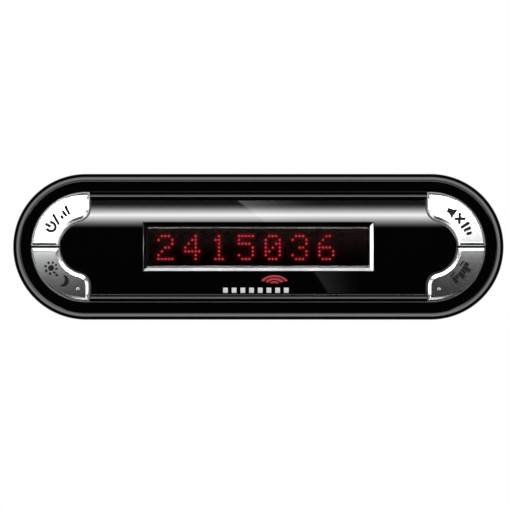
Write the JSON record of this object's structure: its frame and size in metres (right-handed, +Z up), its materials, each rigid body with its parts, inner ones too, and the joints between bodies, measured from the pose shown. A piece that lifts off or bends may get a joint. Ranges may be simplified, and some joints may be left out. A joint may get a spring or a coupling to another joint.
{
  "type": "radar detector",
  "caption": "Pill-shaped dashboard display and control head of a radar detector, with a crowned gloss face, red dot-matrix window, arc-shaped keys and a cable jack in its end.",
  "frame": {"origin": "centre of the outer box in X and Y, at the lower long edge that the head stands on", "axes": "+X along the head to the reader's right, +Y through it from the face to the back, +Z up"},
  "size_m": [0.0988, 0.0208, 0.0294],
  "materials": {
    "gloss_black": "polished black moulding",
    "chrome_trim": "bright plated",
    "smoked_lens": "polished, smoked red",
    "silver_key": "silver paint, satin",
    "matt_black": "fine textured black moulding",
    "pad_foam": "closed-cell foam with adhesive",
    "display_housing": "dull dark grey moulding",
    "board_laminate": "green solder mask",
    "chip_package": "moulded epoxy",
    "steel": "zinc plated",
    "contact_gold": "gold plated",
    "plunger_white": "natural moulding"
  },
  "bodies": {
    "head": {"front_housing": "gloss_black", "faceplate": "gloss_black", "window_trim": "chrome_trim", "window_lens": "smoked_lens", "rear_cover": "matt_black", "cable_jack": "matt_black", "mounting_pad": "pad_foam", "display_gasket": "pad_foam", "sounder_gasket": "pad_foam", "display_module": "display_housing", "circuit_board": "board_laminate", "microcontroller": "chip_package", "display_driver_chip": "chip_package", "voltage_regulator": "chip_package", "sounder": "chip_package", "switch_body_power_volume": "chip_package", "switch_body_dark": "chip_package", "switch_body_quiet": "chip_package", "switch_body_city": "chip_package", "supply_capacitor": "steel", "clock_crystal": "steel", "cover_screw_1": "steel", "cover_screw_2": "steel", "cover_screw_3": "steel", "cover_screw_4": "steel", "board_screw_1": "steel", "board_screw_2": "steel", "board_screw_3": "steel", "board_screw_4": "steel", "jack_contact_1": "contact_gold", "jack_contact_2": "contact_gold", "jack_contact_3": "contact_gold", "jack_contact_4": "contact_gold"},
    "key_power_volume": {"key_power_volume": "silver_key"},
    "plunger_power_volume": {"switch_plunger_power_volume": "plunger_white"},
    "key_dark": {"key_dark": "silver_key"},
    "plunger_dark": {"switch_plunger_dark": "plunger_white"},
    "key_quiet": {"key_quiet": "silver_key"},
    "plunger_quiet": {"switch_plunger_quiet": "plunger_white"},
    "key_city": {"key_city": "silver_key"},
    "plunger_city": {"switch_plunger_city": "plunger_white"}
  },
  "joints": [
    {"name": "press_power_volume", "type": "slide", "parent": "head", "child": "key_power_volume", "axis": [0, 1, 0], "range_m": [0, 0.0004], "stiffness_N_per_m": 1600, "springref_m": -0.0004},
    {"name": "plunge_power_volume", "type": "slide", "parent": "head", "child": "plunger_power_volume", "axis": [0, 1, 0], "range_m": [0, 0.0004]},
    {"name": "press_dark", "type": "slide", "parent": "head", "child": "key_dark", "axis": [0, 1, 0], "range_m": [0, 0.0004], "stiffness_N_per_m": 1600, "springref_m": -0.0004},
    {"name": "plunge_dark", "type": "slide", "parent": "head", "child": "plunger_dark", "axis": [0, 1, 0], "range_m": [0, 0.0004]},
    {"name": "press_quiet", "type": "slide", "parent": "head", "child": "key_quiet", "axis": [0, 1, 0], "range_m": [0, 0.0004], "stiffness_N_per_m": 1600, "springref_m": -0.0004},
    {"name": "plunge_quiet", "type": "slide", "parent": "head", "child": "plunger_quiet", "axis": [0, 1, 0], "range_m": [0, 0.0004]},
    {"name": "press_city", "type": "slide", "parent": "head", "child": "key_city", "axis": [0, 1, 0], "range_m": [0, 0.0004], "stiffness_N_per_m": 1600, "springref_m": -0.0004},
    {"name": "plunge_city", "type": "slide", "parent": "head", "child": "plunger_city", "axis": [0, 1, 0], "range_m": [0, 0.0004]}
  ],
  "couplings": [
    {"joint": "plunge_power_volume", "follows": "press_power_volume", "ratio": 1},
    {"joint": "plunge_dark", "follows": "press_dark", "ratio": 1},
    {"joint": "plunge_quiet", "follows": "press_quiet", "ratio": 1},
    {"joint": "plunge_city", "follows": "press_city", "ratio": 1}
  ]
}
